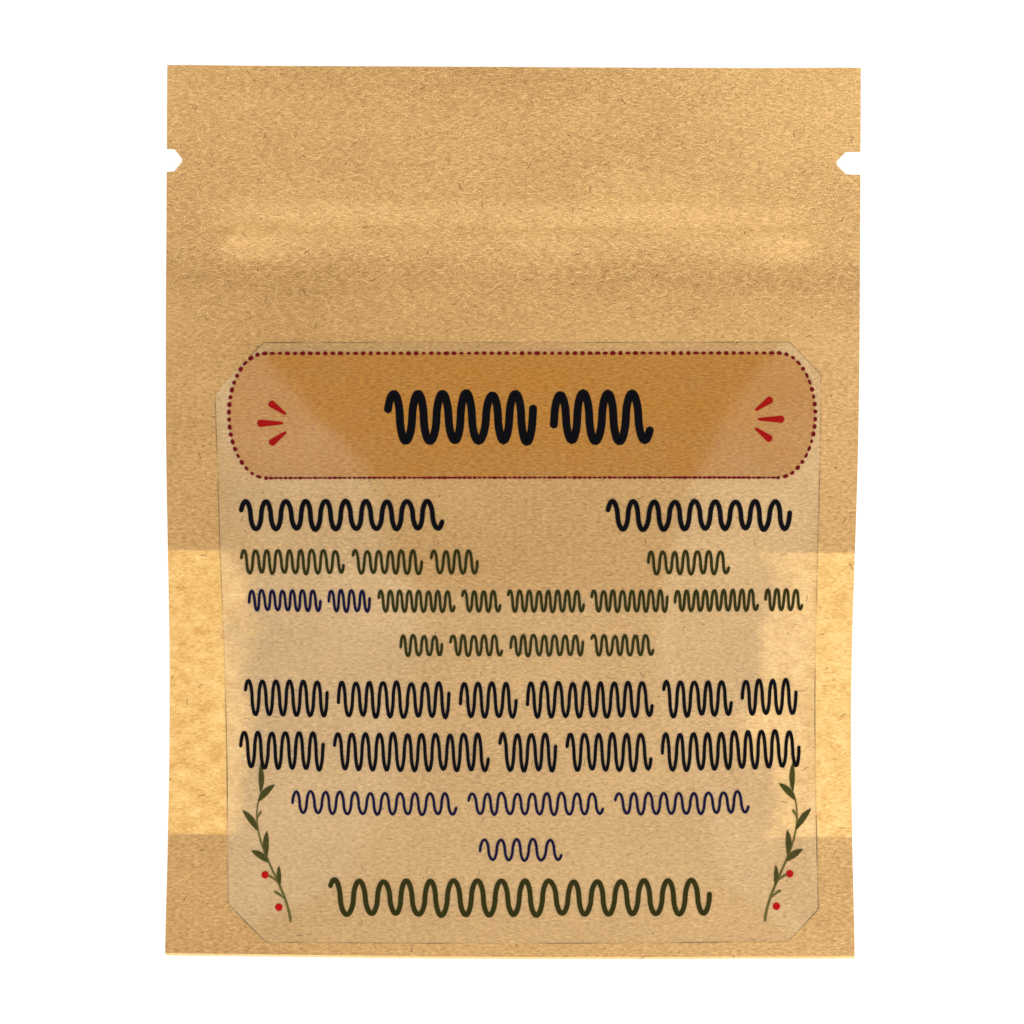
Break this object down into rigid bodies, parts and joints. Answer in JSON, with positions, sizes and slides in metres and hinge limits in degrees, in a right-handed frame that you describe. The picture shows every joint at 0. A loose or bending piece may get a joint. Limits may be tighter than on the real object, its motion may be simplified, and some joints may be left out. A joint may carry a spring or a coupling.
{
  "type": "kraft paper sachet of granulated citrus peel",
  "caption": "Flat kraft paper sachet of granulated orange peel, shut and lying on its back, with tear notches, a press-to-close ridge and a clear film label.",
  "frame": {"origin": "centre of the sachet's box at the surface that it lies on", "axes": "+Y from the folded bottom edge towards the top edge with the tear notches, +Z out of the labelled front, +X to the right as the label is seen"},
  "size_m": [0.07, 0.09, 0.0041],
  "materials": {
    "kraft_paper": "uncoated brown kraft with a faint machine glaze, fibres and specks",
    "clear_label": "clear film with a slight milky haze",
    "band_ink": "thin orange ink that the paper shows through",
    "red_ink": "printed ink",
    "black_ink": "printed ink",
    "green_ink": "printed ink"
  },
  "bodies": {
    "root": {"pouch": "kraft_paper", "label": "clear_label"}
  },
  "joints": []
}
